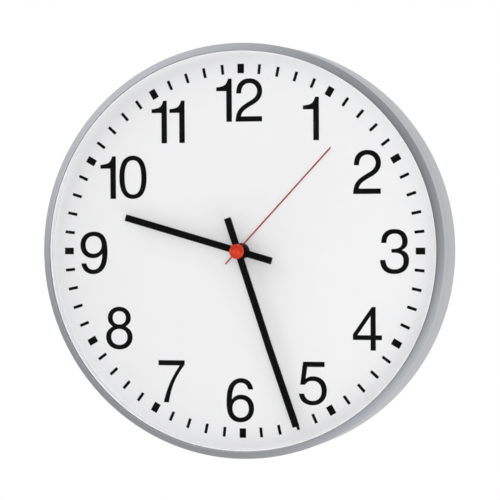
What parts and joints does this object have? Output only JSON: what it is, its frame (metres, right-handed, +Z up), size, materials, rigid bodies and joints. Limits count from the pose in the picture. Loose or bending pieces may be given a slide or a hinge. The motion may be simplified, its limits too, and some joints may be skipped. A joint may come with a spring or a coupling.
{
  "type": "quartz wall clock",
  "caption": "Round wall clock: deep satin case, sloping front ring, domed glass, white dial with bar marks, black bar hands, red second hand, quartz movement with a full gear train.",
  "frame": {"origin": "centre of the hanger keyhole's wide end, on the wall plane", "axes": "+X to the viewer's right, +Y from the viewer into the wall, +Z up"},
  "size_m": [0.3, 0.063, 0.3],
  "materials": {
    "case_metal": "satin spun sheet, clear coated",
    "glass": "clear polished mineral glass",
    "seal_rubber": "matte grey extruded rubber",
    "spacer_white": "matte moulded",
    "dial_white": "matte white lacquer on sheet",
    "dial_ink": "screen printed ink",
    "zinc_sheet": "zinc plated sheet",
    "rivet_steel": "bright drawn",
    "housing_black": "fine spark-eroded grain",
    "bridge_white": "moulded acetal",
    "washer_rubber": "matte",
    "black_metal": "blackened",
    "cell_jacket": "printed film over steel",
    "contact_nickel": "nickel plated strip",
    "board_green": "solder mask over laminate",
    "chip_black": "moulded epoxy",
    "crystal_can": "drawn can",
    "bobbin_ivory": "moulded",
    "copper_wire": "enamelled copper wire",
    "soft_iron": "annealed stamped",
    "magnet_dark": "sintered, plated",
    "gear_ivory": "moulded acetal",
    "clutch_bronze": "rolled spring strip",
    "cannon_brass": "turned",
    "hand_black": "matte black lacquer",
    "needle_red": "matte red lacquer",
    "tube_brass": "turned",
    "cap_red": "turned face, red lacquer"
  },
  "bodies": {
    "case": {"case_body": "case_metal", "front_ring": "case_metal", "cover_glass": "glass", "glass_seal": "seal_rubber", "spacer_ring": "spacer_white", "dial_plate": "dial_white", "minute_track": "dial_ink", "hanger_plate": "zinc_sheet", "hanger_rivets": "rivet_steel", "movement_front_shell": "housing_black", "movement_rear_shell": "housing_black", "gear_bridge": "bridge_white", "rubber_washer": "washer_rubber", "flat_washer": "black_metal", "fixing_nut": "black_metal", "battery_cell": "cell_jacket", "positive_contact": "contact_nickel", "negative_contact": "contact_nickel", "circuit_board": "board_green", "control_chip": "chip_black", "quartz_crystal": "crystal_can", "coil_bobbin": "bobbin_ivory", "coil_winding": "copper_wire", "coil_core": "soft_iron", "stator_plate": "soft_iron"},
    "second": {"second_wheel": "gear_ivory", "second_hand": "needle_red", "second_tube": "tube_brass", "red_cap": "cap_red"},
    "rotor": {"rotor_magnet": "magnet_dark", "rotor_pinion": "gear_ivory"},
    "intermediate": {"intermediate_wheel": "gear_ivory"},
    "third": {"third_wheel": "gear_ivory"},
    "centre": {"centre_wheel": "gear_ivory"},
    "minute": {"cannon_pinion": "cannon_brass", "clutch_spring": "clutch_bronze", "minute_hand": "hand_black", "minute_collet": "hand_black"},
    "reverser": {"reverser_wheel": "gear_ivory"},
    "hour": {"hour_wheel": "gear_ivory", "hour_hand": "hand_black", "hour_collet": "hand_black"},
    "setting": {"setting_arbor": "gear_ivory", "setting_knob": "housing_black"}
  },
  "joints": [
    {"name": "second_spin", "type": "hinge", "parent": "case", "child": "second", "pos_m": [0, -0.0355, -0.118], "axis": [0, 1, 0], "continuous": true},
    {"name": "rotor_spin", "type": "hinge", "parent": "case", "child": "rotor", "pos_m": [0.00355, -0.021, -0.10221], "axis": [0, 1, 0], "continuous": true},
    {"name": "intermediate_spin", "type": "hinge", "parent": "case", "child": "intermediate", "pos_m": [0.00223, -0.021, -0.10969], "axis": [0, 1, 0], "continuous": true},
    {"name": "third_spin", "type": "hinge", "parent": "case", "child": "third", "pos_m": [-0.01103, -0.021, -0.11606], "axis": [0, 1, 0], "continuous": true},
    {"name": "centre_spin", "type": "hinge", "parent": "case", "child": "centre", "pos_m": [0, -0.0255, -0.118], "axis": [0, 1, 0], "continuous": true},
    {"name": "minute_spin", "type": "hinge", "parent": "case", "child": "minute", "pos_m": [0, -0.0355, -0.118], "axis": [0, 1, 0], "continuous": true},
    {"name": "reverser_spin", "type": "hinge", "parent": "case", "child": "reverser", "pos_m": [0.01128, -0.028, -0.1139], "axis": [0, 1, 0], "continuous": true},
    {"name": "hour_spin", "type": "hinge", "parent": "case", "child": "hour", "pos_m": [0, -0.0355, -0.118], "axis": [0, 1, 0], "continuous": true},
    {"name": "setting_spin", "type": "hinge", "parent": "case", "child": "setting", "pos_m": [0.02215, -0.021, -0.10882], "axis": [0, 1, 0], "continuous": true}
  ],
  "couplings": [
    {"joint": "rotor_spin", "follows": "second_spin", "ratio": 30},
    {"joint": "intermediate_spin", "follows": "second_spin", "ratio": -5},
    {"joint": "third_spin", "follows": "second_spin", "ratio": -0.13333},
    {"joint": "centre_spin", "follows": "second_spin", "ratio": 0.016667},
    {"joint": "reverser_spin", "follows": "minute_spin", "ratio": -0.33333},
    {"joint": "hour_spin", "follows": "minute_spin", "ratio": 0.083333},
    {"joint": "setting_spin", "follows": "minute_spin", "ratio": 1}
  ]
}
